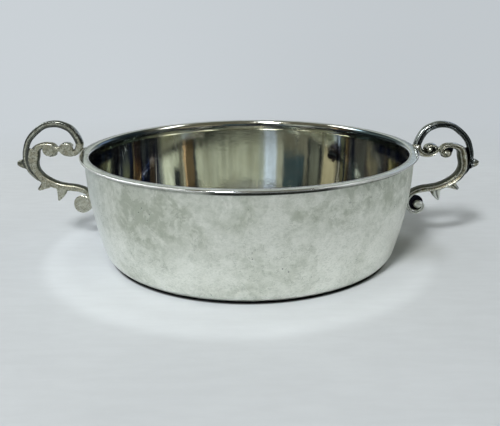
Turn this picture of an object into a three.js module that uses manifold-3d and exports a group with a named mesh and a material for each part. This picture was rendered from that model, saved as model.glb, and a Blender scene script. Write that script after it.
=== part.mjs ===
// A shallow round bowl with two scroll handles, in silver-coloured metal.
// The bowl is one raised sheet with a flat base. A rim moulding seats on its upper edge.
// Each handle is a one-sided casting, modelled in front and flat behind. It is soldered
// to the rim moulding near its top and to the wall at its foot. The two castings are alike,
// and each shows its front to the other side.
// Units are millimetres, +Z is up, and the origin is the centre of the base on the table.

import * as THREE from "three";
import { mergeVertices } from "three/addons/utils/BufferGeometryUtils.js";
import Module from "manifold-3d";

const wasm = await Module();
wasm.setup();

// Driving dimensions of the bowl
const wallHeight = 46.2;
const wallTopRadius = 72.9;
const wallCurveRadius = 142;
const baseCornerRadius = 7;
const sheetThickness = 1.2;

// Driving dimensions of the rim moulding. Its lip overhangs the wall's top edge and its
// skirt hangs inside the wall.
const lipOverhang = 2.1;
const skirtThickness = 0.5;
const rimTopThickness = 1.45;
const rimSkirtHeight = 2.5;
const rimEdgeRadius = 0.4;
const skirtSwell = 0.15;

// Driving dimensions of a handle casting. It leans on the rim at a share of its height. The
// left one was soldered on this offset higher than that, and the right one as much lower.
const handleReach = 30.4;
const handleHeight = 43.3;
const rimTouchShare = 0.71;
const handleDepth = 4.5;
const bandWidth = 2.6;
const footCurlSize = 9;
const webThickness = 1.3;
const handleOffset = 1;

// Driving dimensions of the solder joints
const seatGap = 0.3;
const rimSolderThickness = 0.6;
const rimSolderWidth = 5;
const rimSolderHeight = 2.6;
const footSolderThickness = 0.7;
const footSolderWidth = 5.2;
const footSolderHeight = 6.4;
const solderTaperShare = 0.8;

// A thorn's depth at its root and its tip, and the tail's, as shares of the handle's depth
const rootDepthShare = 0.85;
const tipDepthShare = 0.55;

// Smoothness
const turnSteps = 64;
const arcSteps = 5;
const edgeSteps = 3;
const spanSteps = 4;
const eyeSteps = 14;
const discSteps = 28;

// Cuts run this far past what they cut
const overrun = 5;

const wornSilver = { color: 0xb9bab2, roughness: 0.34, metalness: 1 };
const polishedSilver = { color: 0xcfd0ca, roughness: 0.2, metalness: 1 };
const castSilver = { color: 0x9c9a87, roughness: 0.42, metalness: 1 };
const solderSilver = { color: 0xc9c8bd, roughness: 0.3, metalness: 1 };

const rimOuterRadius = wallTopRadius + lipOverhang;
const skirtRadius = wallTopRadius - sheetThickness - seatGap;
const rimInnerRadius = skirtRadius - skirtThickness;

// The outer wall is an arc that stands upright at its top and runs smoothly into the corner
// arc, which ends on the flat base. A face inside it is built on the same two centres.
const wallCentre = { r: wallTopRadius - wallCurveRadius, z: wallHeight };
const centreSpan = wallCurveRadius - baseCornerRadius;
const joinAngle = Math.asin((wallHeight - baseCornerRadius) / centreSpan);
const cornerCentre = { r: wallCentre.r + centreSpan * Math.cos(joinAngle), z: baseCornerRadius };

function arcPoints(centre, radius, from, to) {
  const points = [];
  for (let i = 0; i <= arcSteps; i += 1) {
    const angle = from + (to - from) * (i / arcSteps);
    points.push(new THREE.Vector2(centre.r + radius * Math.cos(angle), centre.z + radius * Math.sin(angle)));
  }
  return points;
}

// The wall's section from the edge of the flat base to its top, at a depth inside the outer face
function wallSection(depth) {
  const corner = arcPoints(cornerCentre, baseCornerRadius - depth, -Math.PI / 2, -joinAngle);
  const wall = arcPoints(wallCentre, wallCurveRadius - depth, -joinAngle, 0);
  return [...corner, ...wall.slice(1)];
}

function wallRadiusAt(height) {
  return wallCentre.r + Math.sqrt(wallCurveRadius ** 2 - (wallCentre.z - height) ** 2);
}

function revolve(section) {
  const geometry = new THREE.LatheGeometry(section, turnSteps);
  geometry.rotateX(Math.PI / 2);
  return geometry;
}

function toSolid(geometry) {
  const bare = geometry.clone();
  bare.deleteAttribute("normal");
  bare.deleteAttribute("uv");
  const merged = mergeVertices(bare);
  const vertProperties = new Float32Array(merged.attributes.position.array);
  const triVerts = new Uint32Array(merged.index.array);
  return new wasm.Manifold(new wasm.Mesh({ numProp: 3, vertProperties, triVerts }));
}

function toGeometry(solid) {
  const mesh = solid.getMesh();
  const geometry = new THREE.BufferGeometry();
  geometry.setAttribute("position", new THREE.BufferAttribute(new Float32Array(mesh.vertProperties), 3));
  geometry.setIndex(new THREE.BufferAttribute(new Uint32Array(mesh.triVerts), 1));
  geometry.computeVertexNormals();
  return geometry;
}

// The bowl: flat base, corner, curved wall and open top, all one sheet
function bowlGeometry() {
  const outer = wallSection(0);
  const inner = wallSection(sheetThickness).reverse();
  return revolve([new THREE.Vector2(0, 0), ...outer, ...inner, new THREE.Vector2(0, sheetThickness)]);
}

// The rim moulding: a flat ring on the wall's top edge, with a lip that overhangs the wall
// outside and a skirt inside it that swells a little towards the middle
function rimGeometry() {
  const top = wallHeight + rimTopThickness;
  const skirtFoot = wallHeight - rimSkirtHeight;
  const skirtTurn = skirtFoot + rimEdgeRadius;
  const section = new THREE.Path();
  section.moveTo(skirtRadius, wallHeight);
  section.lineTo(rimOuterRadius, wallHeight);
  section.lineTo(rimOuterRadius, top - rimEdgeRadius);
  section.quadraticCurveTo(rimOuterRadius, top, rimOuterRadius - rimEdgeRadius, top);
  section.lineTo(rimInnerRadius + rimEdgeRadius, top);
  section.quadraticCurveTo(rimInnerRadius, top, rimInnerRadius, top - rimEdgeRadius);
  section.quadraticCurveTo(rimInnerRadius - skirtSwell, wallHeight, rimInnerRadius, skirtTurn);
  section.lineTo(skirtRadius, skirtFoot);
  section.closePath();
  return revolve(section.getPoints(edgeSteps));
}

// A casting meets the bowl at two flat lands, one beside the rim and one at its foot
const rimMiddle = wallHeight + rimTopThickness / 2;
const handleBase = rimMiddle - handleHeight * rimTouchShare;
const rimLand = rimOuterRadius + seatGap + rimSolderThickness;
const footHeight = handleBase + footCurlSize;
const footLand = wallRadiusAt(footHeight) + seatGap + footSolderThickness;

// A band is drawn by points on its centre line. Each holds a place across from the rim, as a
// share of the reach, a place up, as a share of the height, and a width, as a share of the
// band's width. The crest scroll starts in its curl by the rim, rises over the arch, and
// ends in the tail outside the body scroll.
const crestShares = [
  [0.184, 0.734, 0.42],
  [0.23, 0.762, 0.54],
  [0.303, 0.751, 0.62],
  [0.342, 0.709, 0.69],
  [0.299, 0.665, 0.77],
  [0.214, 0.649, 0.81],
  [0.125, 0.663, 0.88],
  [0.06, 0.709, 1],
  [0.045, 0.781, 1.04],
  [0.135, 0.905, 1],
  [0.255, 0.958, 0.92],
  [0.391, 0.977, 0.88],
  [0.556, 0.956, 0.81],
  [0.707, 0.882, 0.81],
  [0.796, 0.794, 0.96],
  [0.836, 0.711, 1.15],
  [0.855, 0.626, 1.19],
  [0.855, 0.55, 1],
  [0.822, 0.48, 0.77],
  [0.766, 0.42, 0.58],
  [0.711, 0.374, 0.31],
];

// The body scroll starts in the curl that meets the crest's curl, comes down inside the
// tail, and runs in along the arm to the foot
const bodyShares = [
  [0.443, 0.652, 0.62],
  [0.409, 0.689, 0.65],
  [0.438, 0.73, 0.73],
  [0.513, 0.748, 0.77],
  [0.615, 0.739, 0.96],
  [0.701, 0.702, 1.35],
  [0.737, 0.635, 1.5],
  [0.763, 0.554, 1.31],
  [0.753, 0.478, 1.42],
  [0.688, 0.402, 1.38],
  [0.569, 0.342, 1.19],
  [0.434, 0.303, 1.04],
  [0.296, 0.284, 1],
  [0.158, 0.273, 1],
];

// The foot's curl ends the body scroll. It is laid out from the foot's land, in shares of
// its own size.
const footShares = [
  [0.44, 1.21, 1.04],
  [0.205, 0.967, 1.12],
  [0.15, 0.622, 1.08],
  [0.295, 0.3, 0.92],
  [0.573, 0.135, 0.73],
  [0.84, 0.255, 0.62],
  [0.93, 0.48, 0.58],
  [0.84, 0.62, 0.54],
];

// The spur and the two thorns are short bands from a root inside the scroll to a blunt tip
const spurShares = [
  [0.868, 0.554, 1.77],
  [0.941, 0.557, 0.96],
  [0.997, 0.562, 0.27],
];
const outerThornShares = [
  [0.652, 0.36, 1.8],
  [0.682, 0.304, 1.08],
  [0.708, 0.257, 0.24],
];
const innerThornShares = [
  [0.365, 0.279, 1.7],
  [0.397, 0.229, 0.92],
  [0.43, 0.153, 0.23],
];

// The bridge joins the two upper curls where they face each other, and the crotch web closes
// the recess between the tail and the body scroll. Both lie low, at the handle's back.
const bridgeShares = [
  [0.32, 0.71, 1],
  [0.378, 0.704, 0.85],
  [0.43, 0.7, 1],
];
const crotchWebShares = [
  [0.772, 0.712, 0.7],
  [0.797, 0.64, 1.1],
  [0.812, 0.56, 1.2],
  [0.8, 0.48, 1],
];

// Each curl holds an eye, a rounded boss, and is closed behind by a web. Both are placed as
// above. An eye's width and height and a web's diameter are shares of the band's width.
const crestEyeShares = [0.228, 0.709, 1.2];
const crestEyeTallShare = 1.06;
const bodyEyeShares = [0.486, 0.66, 2];
const bodyEyeTallShare = 1.46;
const footEyeShares = [0.707, 0.522, 1.12];
const footEyeTallShare = 1.12;
const crestWebShares = [0.23, 0.709, 2.6];
const bodyWebShares = [0.513, 0.695, 2.08];
const footWebShares = [0.55, 0.533, 3.08];

// A band's section, across and through, as shares of its width and depth: flat behind, with
// two ridges and a channel between them in front
const sectionShares = [
  [-0.5, 0.5],
  [0.5, 0.5],
  [0.5, -0.12],
  [0.4, -0.4],
  [0.2, -0.5],
  [0, -0.38],
  [-0.2, -0.5],
  [-0.4, -0.4],
  [-0.5, -0.12],
];

// Both give a point in the handle's plane. Its middle coordinate holds the width there.
function inPlane([across, up, width]) {
  const x = rimOuterRadius + across * handleReach;
  return new THREE.Vector3(x, width * bandWidth, handleBase + up * handleHeight);
}

function inFoot([across, up, width]) {
  const x = footLand + across * footCurlSize;
  return new THREE.Vector3(x, width * bandWidth, handleBase + up * footCurlSize);
}

// A band lofted along a smooth line through its points, flush with the others behind. Its
// depth runs evenly from one end's to the other's.
function band(points, startDepth, endDepth) {
  const line = new THREE.CatmullRomCurve3(points);
  const rings = (points.length - 1) * spanSteps;
  const sides = sectionShares.length;
  const vertices = [];
  const faces = [];
  for (let i = 0; i <= rings; i += 1) {
    const place = line.getPoint(i / rings);
    const along = line.getTangent(i / rings).setY(0).normalize();
    const depth = startDepth + (endDepth - startDepth) * (i / rings);
    const middle = (handleDepth - depth) / 2;
    for (const [across, through] of sectionShares) {
      const side = across * place.y;
      vertices.push(place.x - along.z * side, middle + through * depth, place.z + along.x * side);
    }
  }
  for (let i = 0; i < rings; i += 1) {
    for (let j = 0; j < sides; j += 1) {
      const here = i * sides + j;
      const beside = i * sides + ((j + 1) % sides);
      faces.push(here, beside, here + sides, beside, beside + sides, here + sides);
    }
  }
  const outline = sectionShares.map(([across, through]) => new THREE.Vector2(across, through));
  const last = rings * sides;
  for (const [a, b, c] of THREE.ShapeUtils.triangulateShape(outline, [])) {
    faces.push(a, b, c);
    faces.push(last + a, last + c, last + b);
  }
  const geometry = new THREE.BufferGeometry();
  geometry.setAttribute("position", new THREE.Float32BufferAttribute(vertices, 3));
  geometry.setIndex(faces);
  return toSolid(geometry);
}

function eye(place, tallShare) {
  const ball = new THREE.SphereGeometry(1, eyeSteps, eyeSteps / 2);
  ball.scale(place.y / 2, handleDepth / 2, (tallShare * bandWidth) / 2);
  ball.translate(place.x, 0, place.z);
  return toSolid(ball);
}

function web(place) {
  const disc = new THREE.CylinderGeometry(place.y / 2, place.y / 2, webThickness, discSteps);
  disc.translate(place.x, (handleDepth - webThickness) / 2, place.z);
  return toSolid(disc);
}

// What a land leaves off: everything on the bowl's side of it, between two heights
function landCut(land, low, high) {
  const box = new THREE.BoxGeometry(handleReach, handleDepth + overrun, high - low);
  box.translate(land - handleReach / 2, 0, (low + high) / 2);
  return toSolid(box);
}

function handleSolid() {
  const rootDepth = handleDepth * rootDepthShare;
  const tipDepth = handleDepth * tipDepthShare;
  const bodyLine = [...bodyShares.map(inPlane), ...footShares.map(inFoot)];
  const thorns = [spurShares, outerThornShares, innerThornShares];
  const pieces = [
    band(crestShares.map(inPlane), handleDepth, tipDepth),
    band(bodyLine, handleDepth, handleDepth),
    ...thorns.map((shares) => band(shares.map(inPlane), rootDepth, tipDepth)),
    band(bridgeShares.map(inPlane), tipDepth, tipDepth),
    band(crotchWebShares.map(inPlane), webThickness, webThickness),
    eye(inPlane(crestEyeShares), crestEyeTallShare),
    eye(inPlane(bodyEyeShares), bodyEyeTallShare),
    eye(inFoot(footEyeShares), footEyeTallShare),
    web(inPlane(crestWebShares)),
    web(inPlane(bodyWebShares)),
    web(inFoot(footWebShares)),
  ];
  const joined = pieces.reduce((sum, piece) => sum.add(piece));
  const between = (footHeight + wallHeight) / 2;
  const overRim = rimMiddle + rimSolderHeight / 2 + handleOffset + seatGap;
  return joined
    .subtract(landCut(rimLand, between, overRim))
    .subtract(landCut(footLand, handleBase - overrun, between));
}

// A bead of solder. It stands on a flat land of the handle and follows the bowl's side.
function solderBead(land, height, width, tall, bowlSide) {
  const reach = land - bowlSide.nearest;
  const bead = new THREE.CylinderGeometry(solderTaperShare, 1, reach, discSteps);
  bead.rotateZ(-Math.PI / 2);
  bead.scale(1, width / 2, tall / 2);
  bead.translate(land - reach / 2, 0, height);
  return toSolid(bead).subtract(bowlSide.solid);
}

// The space that a bead by the rim keeps out of: the rim's outer face, grown by the seat gap
function rimSide() {
  const radius = rimOuterRadius + seatGap;
  const low = wallHeight - overrun;
  const high = wallHeight + rimTopThickness + overrun;
  const section = [
    new THREE.Vector2(0, low),
    new THREE.Vector2(radius, low),
    new THREE.Vector2(radius, high),
    new THREE.Vector2(0, high),
  ];
  return { solid: toSolid(revolve(section)), nearest: rimOuterRadius - overrun };
}

// The same for a bead at the foot: the wall's outer face, grown by the seat gap
function wallSide() {
  const section = [
    new THREE.Vector2(0, -seatGap),
    ...wallSection(-seatGap),
    new THREE.Vector2(0, wallHeight),
  ];
  return { solid: toSolid(revolve(section)), nearest: cornerCentre.r };
}

function named(name, geometry, look) {
  const mesh = new THREE.Mesh(geometry, new THREE.MeshStandardMaterial(look));
  mesh.name = name;
  return mesh;
}

// A casting on the +X side, lifted to where it was soldered, with its two beads of solder
function handleGroup(side, lift) {
  const casting = named(`${side}_handle`, toGeometry(handleSolid()), castSilver);
  casting.position.z = lift;
  const rimBead = solderBead(rimLand, rimMiddle, rimSolderWidth, rimSolderHeight, rimSide());
  const footBead = solderBead(footLand, footHeight + lift, footSolderWidth, footSolderHeight, wallSide());
  const group = new THREE.Group();
  group.add(casting);
  group.add(named(`${side}_rim_solder`, toGeometry(rimBead), solderSilver));
  group.add(named(`${side}_foot_solder`, toGeometry(footBead), solderSilver));
  return group;
}

const rightSide = handleGroup("right", -handleOffset);
const leftSide = handleGroup("left", handleOffset);
leftSide.rotation.z = Math.PI;

const bowl = new THREE.Group();
bowl.add(named("bowl_body", bowlGeometry(), wornSilver));
bowl.add(named("rim_moulding", rimGeometry(), polishedSilver));
bowl.add(rightSide);
bowl.add(leftSide);

export default bowl;
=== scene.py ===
import math

import bmesh
import bpy
from mathutils import Matrix, Vector
from mathutils.kdtree import KDTree


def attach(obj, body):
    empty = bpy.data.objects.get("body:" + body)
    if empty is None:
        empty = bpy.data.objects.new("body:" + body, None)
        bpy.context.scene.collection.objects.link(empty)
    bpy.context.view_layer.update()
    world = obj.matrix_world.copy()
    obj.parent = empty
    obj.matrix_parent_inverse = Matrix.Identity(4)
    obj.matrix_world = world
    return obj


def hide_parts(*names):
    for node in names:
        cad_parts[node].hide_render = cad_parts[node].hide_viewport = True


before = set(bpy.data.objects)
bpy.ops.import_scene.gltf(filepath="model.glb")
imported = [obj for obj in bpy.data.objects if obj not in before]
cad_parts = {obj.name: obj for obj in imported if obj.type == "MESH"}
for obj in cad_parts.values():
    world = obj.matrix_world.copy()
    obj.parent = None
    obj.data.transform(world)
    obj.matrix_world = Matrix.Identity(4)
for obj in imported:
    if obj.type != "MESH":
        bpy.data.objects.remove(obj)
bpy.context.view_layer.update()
scene = bpy.context.scene

# The camera stands a little above the rim and looks down at the bowl's front. Its place and
# lens are those that fit the photograph.
camera_distance = 0.285
camera_height = 0.10685
camera_pitch = 0.30825
camera_yaw = 0.0006
camera_roll = 0.009
camera_lens = 45.89
sensor_width = 36
nearest_seen = 0.01

camera = bpy.data.objects.new("camera", bpy.data.cameras.new("camera"))
camera.data.lens = camera_lens
camera.data.sensor_width = sensor_width
camera.data.sensor_fit = "HORIZONTAL"
camera.data.clip_start = nearest_seen
camera.matrix_world = (
    Matrix.Translation((0, -camera_distance, camera_height))
    @ Matrix.Rotation(-camera_yaw, 4, "Z")
    @ Matrix.Rotation(math.pi / 2 - camera_pitch, 4, "X")
    @ Matrix.Rotation(-camera_roll, 4, "Z")
)
scene.collection.objects.link(camera)
scene.camera = camera
scene.view_settings.view_transform = "Standard"

# The table and backdrop. The pale table runs on into a backdrop of its own colour. It has soft
# cloudy marks, a ring of light thrown round the bowl's foot, and a deeper shade at its right.
backdrop_colour = (0.577, 0.619, 0.650)
backdrop_side_gains = (1.03, 0.93)
backdrop_turn = 0.35
table_colour = (0.60, 0.635, 0.66)
table_size = 6
table_matt = 0.7
table_gloss = 0.15
table_depths = (-0.16, 0.3)
table_depth_gains = (0.93, 1.27)
noise_middle = 0.5
table_cloud_scale = 11
table_cloud_strength = 0.028
wipe_scale = 60
wipe_strength = 0.015
wipe_stretch = (1, 4, 1)
near_radius = 0.17
fade_radius = 0.42
pool_centre = (-0.005, -0.002, 0)
pool_radius = 0.085
pool_edge = 0.093
pool_ring_width = 0.012
pool_middle_share = 0.3
pool_gain = 0.13
foot_shade_radii = (0.0635, 0.0649)
foot_shade_tone = 0.04
deep_shade_place = (0.073, -0.006, 0)
deep_shade_radii = (0.003, 0.026)
deep_shade_share = 0.55
deep_shade_colour = (0.24, 0.25, 0.225)


def node(tree, kind, sockets, **settings):
    """Makes a shader node with its settings, its inputs set or joined, and returns its output."""
    made = tree.nodes.new("ShaderNode" + kind)
    for name, value in settings.items():
        setattr(made, name, value)
    for name, value in sockets.items():
        if isinstance(value, bpy.types.NodeSocket):
            tree.links.new(value, made.inputs[name])
        else:
            made.inputs[name].default_value = value
    return next(output for output in made.outputs if output.enabled)


def span(tree, value, low, high, start=0.0, end=1.0):
    """A value that runs from start to end while another runs from low to high."""
    sockets = {"Value": value, "From Min": low, "From Max": high, "To Min": start, "To Max": end}
    return node(tree, "MapRange", sockets, interpolation_type="SMOOTHSTEP")


def worked(tree, operation, first, second=0.0, third=0.0):
    """Values worked into one."""
    return node(tree, "Math", {0: first, 1: second, 2: third}, operation=operation)


def times(tree, first, *others):
    """The product of some values."""
    for other in others:
        first = worked(tree, "MULTIPLY", first, other)
    return first


def mixed(tree, share, first, second):
    """A colour that lies a share of the way from the first to the second."""
    first, second = [c if isinstance(c, bpy.types.NodeSocket) else (*c, 1) for c in (first, second)]
    return node(tree, "Mix", {0: share, 6: first, 7: second}, data_type="RGBA")


def place_in(tree):
    """The place on the piece, in metres."""
    return tree.nodes.new("ShaderNodeTexCoord").outputs["Object"]


def axis(tree, vector, name):
    """One of a vector's three numbers."""
    split = tree.nodes.new("ShaderNodeSeparateXYZ")
    tree.links.new(vector, split.inputs[0])
    return split.outputs[name]


def stretched(tree, where, factors):
    """The place with its axes stretched, for marks that run one way."""
    return node(tree, "VectorMath", {0: where, 1: factors}, operation="MULTIPLY")


def noise(tree, where, scale, detail=4.0, roughness=0.6, twist=0.0):
    """Noise in metres: scale is how many of its features a metre holds."""
    sockets = {"Vector": where, "Scale": scale, "Detail": detail, "Roughness": roughness}
    return node(tree, "TexNoise", {**sockets, "Distortion": twist})


def wavering(tree, pattern, strength, spread=0.15):
    """A gain that wavers round one, as a pattern of noise wavers round its middle."""
    low, high = noise_middle - spread, noise_middle + spread
    return span(tree, pattern, low, high, 1 - strength, 1 + strength)


def near(tree, where, centre, inner, outer, most=1.0):
    """Something within an inner distance of a point, and nothing beyond an outer one."""
    away = node(tree, "VectorMath", {0: where, 1: centre}, operation="DISTANCE")
    return span(tree, away, inner, outer, most, 0.0)


def background_rays(tree):
    """One for the rays that show the background: those of the eye, of metal and of glass."""
    path = tree.nodes.new("ShaderNodeLightPath").outputs
    shown = worked(tree, "MAXIMUM", path["Is Camera Ray"], path["Is Glossy Ray"])
    return worked(tree, "MAXIMUM", shown, path["Is Transmission Ray"])


def backdrop_paint(tree, direction):
    """The backdrop's colour, a little darker to the right."""
    ahead = node(tree, "VectorMath", {0: direction}, operation="NORMALIZE")
    across = axis(tree, ahead, "X")
    shade = span(tree, across, -backdrop_turn, backdrop_turn, *backdrop_side_gains)
    return node(tree, "VectorMath", {0: backdrop_colour, "Scale": shade}, operation="SCALE")


plane = bmesh.new()
bmesh.ops.create_grid(plane, x_segments=1, y_segments=1, size=table_size / 2)
table = bpy.data.objects.new("table", bpy.data.meshes.new("table"))
plane.to_mesh(table.data)
scene.collection.objects.link(table)

paint = bpy.data.materials.new("pale_table")
paint.use_nodes = True
tree = paint.node_tree
shader = tree.nodes["Principled BSDF"]
shader.inputs["Roughness"].default_value = table_matt
shader.inputs["Specular IOR Level"].default_value = table_gloss
where = place_in(tree)
far = node(tree, "VectorMath", {0: where}, operation="LENGTH")
clouds = noise(tree, where, table_cloud_scale, detail=5, roughness=0.65)
wiped = noise(tree, stretched(tree, where, wipe_stretch), wipe_scale)
from_pool = node(tree, "VectorMath", {0: where, 1: pool_centre}, operation="DISTANCE")
pool = span(tree, from_pool, pool_radius, pool_edge, 1.0, 0.0)
ring = span(tree, from_pool, pool_radius - pool_ring_width, pool_radius, pool_middle_share, 1.0)
shade = times(
    tree,
    wavering(tree, clouds, table_cloud_strength, spread=0.2),
    wavering(tree, wiped, wipe_strength),
    worked(tree, "MULTIPLY_ADD", times(tree, pool, ring), pool_gain, 1.0),
    span(tree, far, *foot_shade_radii, foot_shade_tone, 1.0),
    span(tree, axis(tree, where, "Y"), *table_depths, *table_depth_gains),
)
tint = node(tree, "VectorMath", {0: table_colour, "Scale": shade}, operation="SCALE")
deep_shade = near(tree, where, deep_shade_place, *deep_shade_radii, deep_shade_share)
tint = mixed(tree, deep_shade, tint, deep_shade_colour)
tree.links.new(tint, shader.inputs["Base Color"])
faded = span(tree, far, near_radius, fade_radius)
plain = times(tree, faded, background_rays(tree))
glow = node(tree, "Emission", {"Color": backdrop_paint(tree, where)})
seen = node(tree, "MixShader", {0: plain, 1: shader.outputs[0], 2: glow})
tree.links.new(seen, tree.nodes["Material Output"].inputs["Surface"])
table.data.materials.append(paint)

# The light. One soft lamp stands in front on the left. A soft sky, weaker low down and on the
# right, fills the shadows, and what the eye and mirrors see of it is the backdrop's colour.
sky_strength = 0.46
low_sky_share = 0.15
full_sky_height = 0.8
sky_turn = 0.7
sky_side_gains = (1.14, 0.8)
left_sky_colour = (0.93, 0.97, 1.03)
right_sky_colour = (1.02, 1.0, 0.84)
key_direction = Vector((-0.245, -0.66, 0.70))
key_distance = 1.3
key_size = 0.24
key_power = 13.2

scene.world = bpy.data.worlds.new("studio")
scene.world.use_nodes = True
tree = scene.world.node_tree
direction = tree.nodes.new("ShaderNodeTexCoord").outputs["Generated"]
height = axis(tree, direction, "Z")
from_right = span(tree, axis(tree, direction, "X"), -sky_turn, sky_turn)
soft = times(
    tree,
    span(tree, height, 0, full_sky_height, low_sky_share * sky_strength, sky_strength),
    span(tree, from_right, 0.0, 1.0, *sky_side_gains),
)
sky_colour = mixed(tree, from_right, left_sky_colour, right_sky_colour)
sky = node(tree, "Background", {"Color": sky_colour, "Strength": soft})
backdrop = node(tree, "Background", {"Color": backdrop_paint(tree, direction), "Strength": 1.0})
seen = node(tree, "MixShader", {0: background_rays(tree), 1: sky, 2: backdrop})
tree.links.new(seen, tree.nodes["World Output"].inputs["Surface"])

key = bpy.data.objects.new("key", bpy.data.lights.new("key", "AREA"))
key.data.shape = "DISK"
key.data.size = key_size
key.data.energy = key_power
key.location = key_direction.normalized() * key_distance
key.rotation_euler = key_direction.to_track_quat("Z", "Y").to_euler()
scene.collection.objects.link(key)

# The mirrored room. Polished metal mirrors a dark wall, a ceiling in two tints, some tall cards
# and three small lamps, which hang in a ring round the bowl and which nothing else shows.
card_distance = 1.5
card_streak_scale = 9
card_streak_stretch = (1, 1, 0.2)
card_streaks = 0.22
card_step_degrees = 3
dim_foot_degrees = 11.6
full_card_degrees = 14
wall_distance = 1.7
wall_height_degrees = 24
wall_gap_degrees = 32
wall_tint = (0.028, 0.034, 0.045)
wall_streaks = 0.5
wall_steps_round = 90
front_ceiling_tint = (0.16, 0.16, 0.125)
back_ceiling_tint = (0.20, 0.21, 0.195)
back_ceiling_degrees = 75
ceiling_streaks = 0.3
ceiling_step_degrees = 6
ceiling_steps_round = 60
zenith_degrees = 90

# Each card's two sides as bearings from straight behind round by the right, its foot and top
# as heights seen from the bowl, all in degrees, its colour, and how bright its foot still is
cards = [
    (-157, -154.5, 12, 20, (0.9, 0.98, 1.1), 0.5),
    (-154.5, -150, 10.5, 20, (0.06, 0.13, 0.21), 1),
    (-150, -125, 10.5, 21, (0.78, 0.87, 0.86), 0.12),
    (-125, -114, 12.4, 16, (0.56, 0.62, 0.58), 1),
    (-114, -109, 11, 21, (0.20, 0.21, 0.19), 0.5),
    (-108, -106, 11.5, 21, (0.8, 0.8, 0.7), 0.5),
    (-104.5, -102.3, 11.5, 21, (1.05, 0.74, 0.46), 1),
    (-100.5, -88.5, 10.5, 21, (0.15, 0.113, 0.073), 0.3),
    (-84.5, 16, 10.2, 28, (0.48, 0.53, 0.50), 0.12),
    (16, 24, 10.2, 28, (0.50, 0.58, 0.62), 0.3),
    (24, 43, 10.2, 28, (0.80, 0.97, 1.40), 0.45),
    (43, 54, 10.2, 21, (0.46, 0.50, 0.50), 0.5),
    (54, 94, 10.2, 14.2, (0.18, 0.185, 0.17), 1),
    (88, 94, 14.2, 21, (0.18, 0.185, 0.17), 1),
    (54, 88, 14.2, 21, (0.052, 0.088, 0.12), 1),
    (97.5, 113.5, 10.5, 21, (0.17, 0.19, 0.185), 0.6),
    (119, 157, 13.9, 21, (0.52, 0.49, 0.38), 1),
    (119, 128, 10.5, 13.9, (0.52, 0.49, 0.38), 0.5),
    (157, 178, 10.5, 21, (0.09, 0.13, 0.15), 1),
    (99, 109, 30, 56, (11.0, 11.5, 12.5), 1),
    (-88, -66, 30, 54, (11.0, 11.5, 12.5), 1),
    (-166, -157, 30, 74, (5.0, 5.6, 6.6), 1),
]


def bearing(degrees, elevation, distance):
    """A place at a bearing and a height as seen from the bowl."""
    turn, rise = math.radians(degrees), math.radians(elevation)
    level = math.cos(rise)
    return Vector((math.sin(turn) * level, math.cos(turn) * level, math.sin(rise))) * distance


def glow_paint(name, colour, streaks, dim_foot=1):
    """Paint that glows in one colour, with faint upright streaks, and is dimmer at the foot."""
    paint = bpy.data.materials.new(name)
    paint.use_nodes = True
    tree = paint.node_tree
    tree.nodes.clear()
    where = place_in(tree)
    upright = stretched(tree, where, card_streak_stretch)
    blur = noise(tree, upright, card_streak_scale, roughness=0.7)
    heights = [math.radians(h) for h in (dim_foot_degrees, full_card_degrees)]
    low, full = [card_distance * math.sin(h) for h in heights]
    rise = span(tree, axis(tree, where, "Z"), low, full, dim_foot, 1.0)
    shade = times(tree, wavering(tree, blur, streaks), rise)
    light = node(tree, "Emission", {"Color": (*colour, 1), "Strength": shade})
    ends = tree.nodes.new("ShaderNodeOutputMaterial")
    tree.links.new(light, ends.inputs["Surface"])
    return paint


def mirrored_only(name, shape, paint):
    """A piece of the studio that only mirrored light shows."""
    made = bpy.data.objects.new(name, bpy.data.meshes.new(name))
    shape.to_mesh(made.data)
    shape.free()
    made.data.materials.append(paint)
    made.visible_camera = False
    made.visible_diffuse = False
    made.visible_shadow = False
    scene.collection.objects.link(made)


def hung(name, line, sweep, steps, paint):
    """A curved card, wall or ceiling, swept round the bowl from the line that is its edge."""
    shape = bmesh.new()
    edge = [shape.verts.new(place) for place in line]
    for one, next_one in zip(edge, edge[1:]):
        shape.edges.new((one, next_one))
    bmesh.ops.spin(
        shape, geom=shape.verts[:] + shape.edges[:], cent=(0, 0, 0), axis=(0, 0, 1),
        angle=-math.radians(sweep), steps=steps,
    )
    mirrored_only(name, shape, paint)


for i, (start, end, foot, top, colour, dim_foot) in enumerate(cards):
    line = [bearing(start, foot, card_distance), bearing(start, top, card_distance)]
    steps = max(2, round((end - start) / card_step_degrees))
    paint = glow_paint(f"card_paint_{i}", colour, card_streaks, dim_foot)
    hung(f"card_{i}", line, end - start, steps, paint)
line = [bearing(wall_gap_degrees, h, wall_distance) for h in (0, wall_height_degrees)]
paint = glow_paint("wall_paint", wall_tint, wall_streaks)
hung("dark_wall", line, 360 - 2 * wall_gap_degrees, wall_steps_round, paint)
halves = (
    ("front_ceiling", back_ceiling_degrees, 360 - back_ceiling_degrees, front_ceiling_tint),
    ("back_ceiling", -back_ceiling_degrees, back_ceiling_degrees, back_ceiling_tint),
)
for name, start, end, tint in halves:
    heights = range(wall_height_degrees, zenith_degrees + 1, ceiling_step_degrees)
    line = [bearing(start, h, wall_distance) for h in heights]
    paint = glow_paint(name + "_paint", tint, ceiling_streaks)
    hung(name, line, end - start, ceiling_steps_round, paint)

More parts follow.
